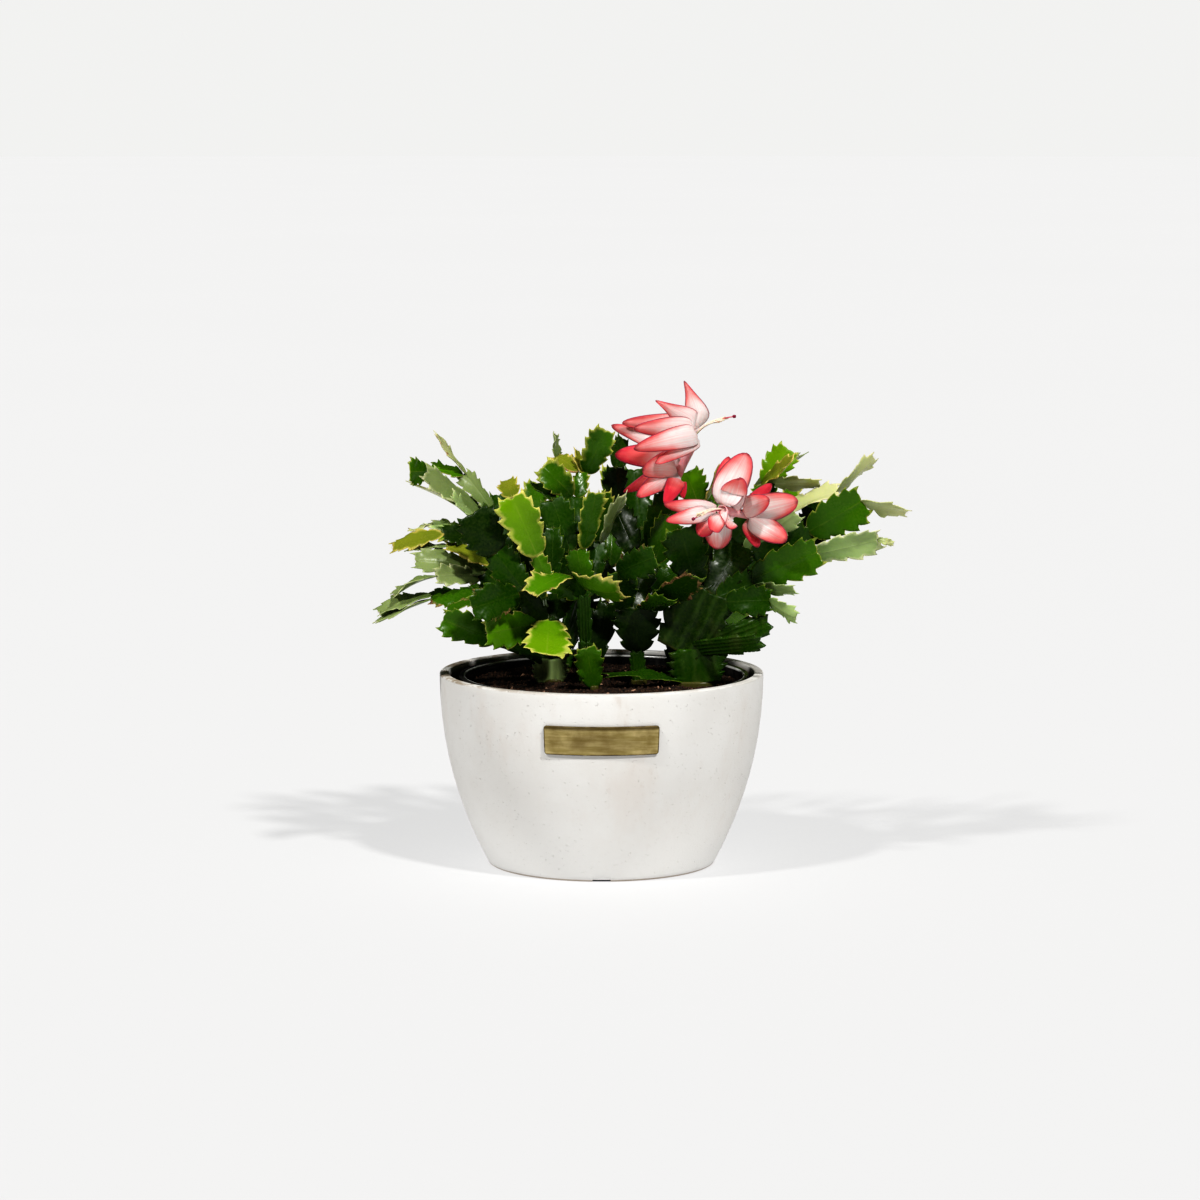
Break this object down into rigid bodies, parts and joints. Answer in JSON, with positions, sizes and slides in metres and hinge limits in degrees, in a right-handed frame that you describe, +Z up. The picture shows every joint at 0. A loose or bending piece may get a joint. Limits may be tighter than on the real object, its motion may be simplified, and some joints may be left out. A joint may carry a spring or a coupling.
{
  "type": "potted christmas cactus",
  "caption": "Leafy flat-stemmed holiday cactus with open pink and white flowers, growing in a black nursery pot inside a white bowl-shaped planter with a bare brass plate.",
  "frame": {"origin": "the middle of the planter's foot, on the surface that it stands on", "axes": "+Z up through the middle of the planter; -Y is the front, where the brass plate is; +X is to the right seen from the front"},
  "size_m": [0.3015, 0.194, 0.2708],
  "materials": {
    "planter": "matt off-white, faintly mottled",
    "brass_plate": "satin, antiqued",
    "nursery_plastic": "satin black",
    "soil": "rough damp peat mix",
    "leaf": "waxy green",
    "petal": "satin, white to coral red",
    "stamen": "matt cream",
    "style": "satin magenta"
  },
  "bodies": {
    "root": {"outer_pot": "planter", "plate": "brass_plate", "nursery_pot": "nursery_plastic", "soil": "soil", "stem_left": "leaf", "stem_middle": "leaf", "stem_young": "leaf", "stem_centre": "leaf", "stem_right": "leaf", "stem_back_left": "leaf", "stem_back_right": "leaf", "bloom_1": "petal", "bloom_1_stamens": "stamen", "bloom_1_style": "style", "bloom_2": "petal", "bloom_2_stamens": "stamen", "bloom_2_style": "style"}
  },
  "joints": []
}
